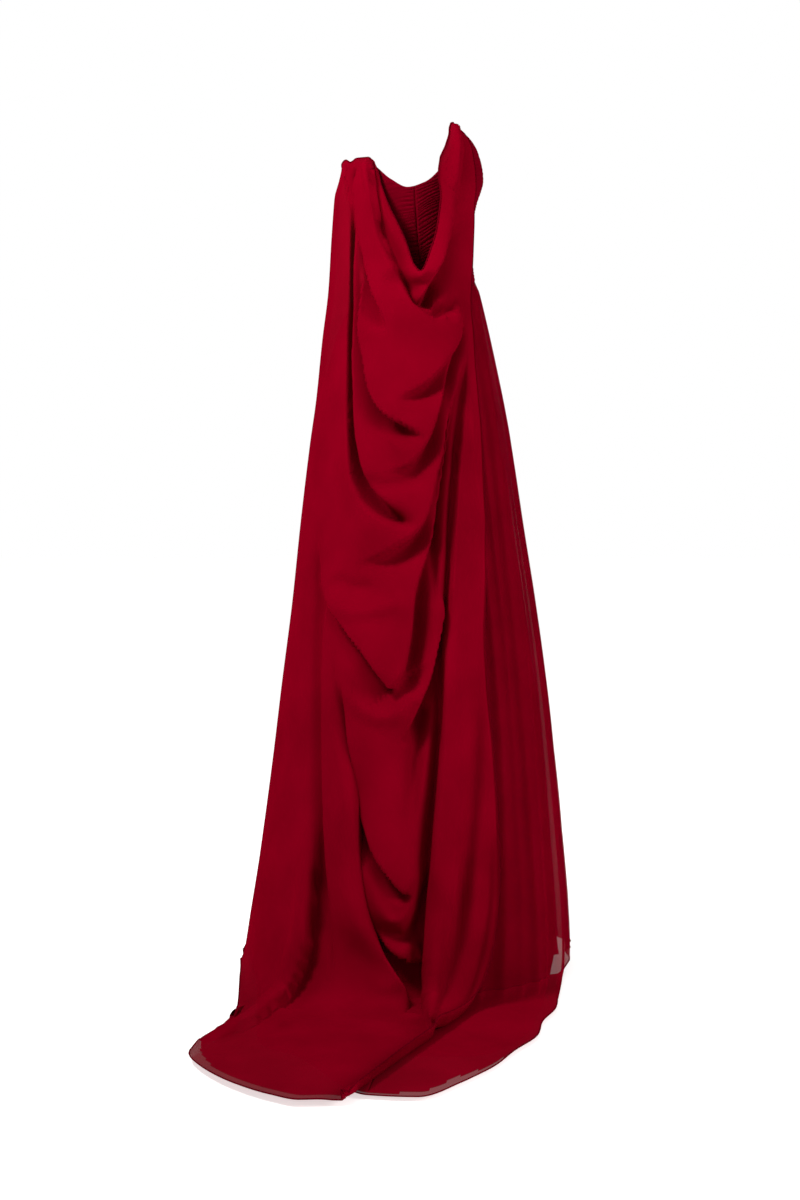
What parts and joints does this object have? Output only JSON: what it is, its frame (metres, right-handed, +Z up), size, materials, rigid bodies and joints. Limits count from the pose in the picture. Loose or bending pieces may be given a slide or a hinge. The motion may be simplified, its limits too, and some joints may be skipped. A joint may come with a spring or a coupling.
{
  "type": "strapless gown",
  "caption": "Floor-length strapless gown in layered sheer chiffon, with a ruched boned bodice, a gathered skirt and a one-sided cowl drape that falls into a train",
  "frame": {"origin": "on the body's axis at the height of the underarm, where the boned band of the bodice grips the wearer", "axes": "+Z up along the body's axis; the wearer faces -Y, and the wearer's right side, where the drape and train are, is -X"},
  "size_m": [1.095, 0.5879, 1.3709],
  "materials": {
    "ruched_chiffon": "crimson silk chiffon ruched over a boned foundation",
    "under_fabric": "opaque crimson lining silk",
    "skirt_chiffon": "sheer crimson silk chiffon, gathered",
    "drape_chiffon": "crimson silk chiffon, draped, with a narrow rolled hem"
  },
  "bodies": {
    "root": {"bodice_front": "ruched_chiffon", "bodice_back_right": "ruched_chiffon", "bodice_back_left": "ruched_chiffon", "under_skirt_front": "under_fabric", "under_skirt_back": "under_fabric", "outer_skirt_front": "skirt_chiffon", "outer_skirt_back": "skirt_chiffon", "drape_back_fall": "drape_chiffon", "drape_cowl": "drape_chiffon", "drape_cascade": "drape_chiffon", "drape_front_fall": "drape_chiffon", "drape_train": "drape_chiffon"}
  },
  "joints": []
}
